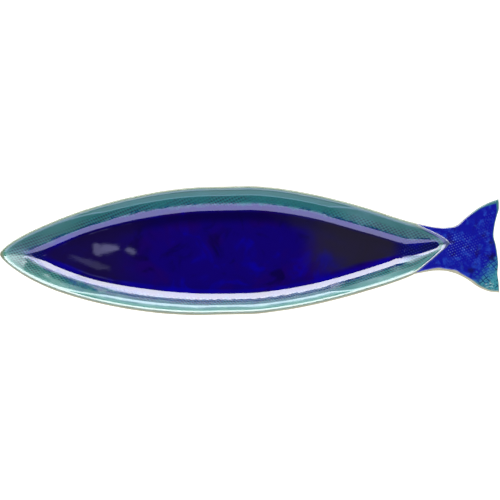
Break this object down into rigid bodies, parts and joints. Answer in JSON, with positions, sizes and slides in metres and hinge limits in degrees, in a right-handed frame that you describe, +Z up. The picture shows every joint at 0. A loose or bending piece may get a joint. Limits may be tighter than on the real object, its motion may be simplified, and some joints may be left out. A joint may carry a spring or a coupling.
{
  "type": "fish shaped platter",
  "caption": "Long stoneware serving platter in the shape of a fish, with a pointed boat shaped well, a forked tail fin and a low foot ring.",
  "frame": {"origin": "on the table under the middle of the platter's length and width", "axes": "+X from the nose to the tail, +Y to the fish's back, +Z up out of the well"},
  "size_m": [0.4299, 0.1117, 0.024],
  "materials": {
    "bare_clay": "fired, unglazed, fine grained and matt",
    "cobalt_glaze": "deep, glossy, with darker and purple clouds",
    "turquoise_glaze": "glossy, thin over the pressed weave and darker where it pools",
    "pale_glaze": "thin, satin, oatmeal coloured"
  },
  "bodies": {
    "root": {"dish_body": "bare_clay", "tail_fin": "bare_clay", "foot_ring": "bare_clay", "well_glaze": "cobalt_glaze", "wall_glaze": "turquoise_glaze", "tail_glaze": "cobalt_glaze", "fin_tip_glaze": "turquoise_glaze", "underside_glaze": "pale_glaze"}
  },
  "joints": []
}
